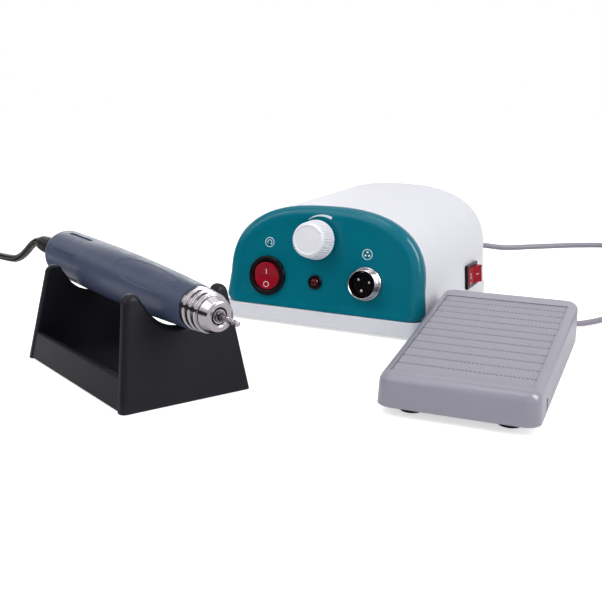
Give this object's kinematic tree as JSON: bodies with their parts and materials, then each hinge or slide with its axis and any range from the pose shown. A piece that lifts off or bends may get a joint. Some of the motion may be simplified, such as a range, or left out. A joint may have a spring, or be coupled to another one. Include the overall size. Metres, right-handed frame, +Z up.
{
  "type": "dental laboratory micromotor set",
  "caption": "Bench micromotor: arched control box with rocker, knob, lamp and round socket, straight handpiece on a saddle cradle, and a ribbed foot pedal, each with its coiled lead.",
  "frame": {"origin": "on the floor under the middle of the box round the control box, cradle with handpiece and pedal, without the cords", "axes": "+X to the right, seen from the front of the control box, +Y to its rear, +Z up"},
  "size_m": [0.4984, 0.4512, 0.0731],
  "materials": {
    "white_shell": "satin moulded plastic",
    "teal_panel": "glossy moulded plastic",
    "black_plastic": "fine-grained moulded plastic",
    "red_rocker": "translucent glossy plastic",
    "red_lens": "clear tinted lens",
    "white_knob": "satin moulded plastic",
    "polished_steel": "polished",
    "dark_steel": "machined",
    "blue_grey_sleeve": "satin coating",
    "black_rubber": "matte",
    "grey_pedal": "satin moulded plastic",
    "grey_mat": "ribbed matte rubber",
    "grey_lead": "smooth cable sheath",
    "black_lead": "smooth cable sheath",
    "iron_core": "laminated",
    "copper": "lacquered winding",
    "board_green": "solder mask",
    "carbon": "pressed and sintered"
  },
  "bodies": {
    "base": {"base_tray": "white_shell", "box_foot_1": "black_rubber", "box_foot_2": "black_rubber", "box_foot_3": "black_rubber", "box_foot_4": "black_rubber", "circuit_board": "board_green", "cradle": "black_plastic", "direction_switch_body": "black_plastic", "front_panel": "teal_panel", "fuse_holder": "black_plastic", "light_bezel": "black_plastic", "light_lens": "red_lens", "mains_cord": "grey_lead", "mains_cord_coil": "grey_lead", "mains_gland": "black_rubber", "mains_plug": "grey_lead", "motor_cord": "black_lead", "motor_cord_coil": "black_lead", "motor_plug_body": "polished_steel", "motor_socket_insert": "black_plastic", "motor_socket_shell": "polished_steel", "pedal_base": "grey_pedal", "pedal_cord": "grey_lead", "pedal_cord_coil": "grey_lead", "pedal_foot_1": "black_rubber", "pedal_foot_2": "black_rubber", "pedal_foot_3": "black_rubber", "pedal_foot_4": "black_rubber", "pedal_grommet": "grey_lead", "pedal_hinge_pin": "polished_steel", "pedal_microswitch": "black_plastic", "pedal_plug": "polished_steel", "pedal_socket": "polished_steel", "pedal_spring": "polished_steel", "power_switch_body": "black_plastic", "rear_panel": "white_shell", "speed_control": "dark_steel", "top_shell": "white_shell", "transformer": "iron_core"},
    "handpiece": {"handpiece_sleeve": "blue_grey_sleeve", "rear_bush": "black_plastic", "cord_relief": "black_rubber", "motor_can": "polished_steel", "magnet_ring": "carbon", "brush_upper": "carbon", "brush_lower": "carbon", "rear_bearing": "polished_steel", "front_bearing": "polished_steel", "nose_cone": "polished_steel"},
    "spindle": {"armature": "copper", "spindle": "dark_steel", "collet": "dark_steel", "bur_shank": "polished_steel"},
    "chuck": {"chuck_ring": "polished_steel"},
    "plug_ring": {"motor_plug_ring": "polished_steel"},
    "speed_knob": {"speed_knob": "white_knob"},
    "direction_rocker": {"direction_rocker": "red_rocker"},
    "power_rocker": {"power_rocker": "red_rocker"},
    "pedal_cover": {"pedal_cover": "grey_pedal", "pedal_mat": "grey_mat"}
  },
  "joints": [
    {"name": "handpiece_lift", "type": "slide", "parent": "base", "child": "handpiece", "axis": [0, 0, 1], "range_m": [0, 0.06]},
    {"name": "spindle_spin", "type": "hinge", "parent": "handpiece", "child": "spindle", "pos_m": [-0.11352, -0.07924, 0.0456], "axis": [0.8851, -0.4647, -0.0255], "continuous": true},
    {"name": "chuck_twist", "type": "hinge", "parent": "handpiece", "child": "chuck", "pos_m": [-0.11352, -0.07924, 0.0456], "axis": [0.8851, -0.4647, -0.0255], "range_deg": [0, 60]},
    {"name": "plug_ring_turn", "type": "hinge", "parent": "base", "child": "plug_ring", "pos_m": [-0.22039, -0.09393, 0.0095], "axis": [1, 0, 0], "continuous": true},
    {"name": "speed_knob_turn", "type": "hinge", "parent": "base", "child": "speed_knob", "pos_m": [-0.00379, 0.00636, 0.05019], "axis": [0, -0.9923, 0.1236], "range_deg": [-80, 220]},
    {"name": "direction_rock", "type": "hinge", "parent": "base", "child": "direction_rocker", "pos_m": [-0.03399, 0.00349, 0.02717], "axis": [1, 0, 0], "range_deg": [-16, 0]},
    {"name": "power_rock", "type": "hinge", "parent": "base", "child": "power_rocker", "pos_m": [0.06063, 0.10817, 0.0198], "axis": [-0.0837, 0.0013, 0.9965], "range_deg": [0, 20]},
    {"name": "pedal_press", "type": "hinge", "parent": "base", "child": "pedal_cover", "pos_m": [0.10693, -0.09451, 0.0088], "axis": [0.9987, 0.0516, 0], "range_deg": [-1.1, 0], "stiffness_Nm_per_rad": 1.5, "springref_deg": 11.46, "deforming": ["pedal_spring"]}
  ]
}
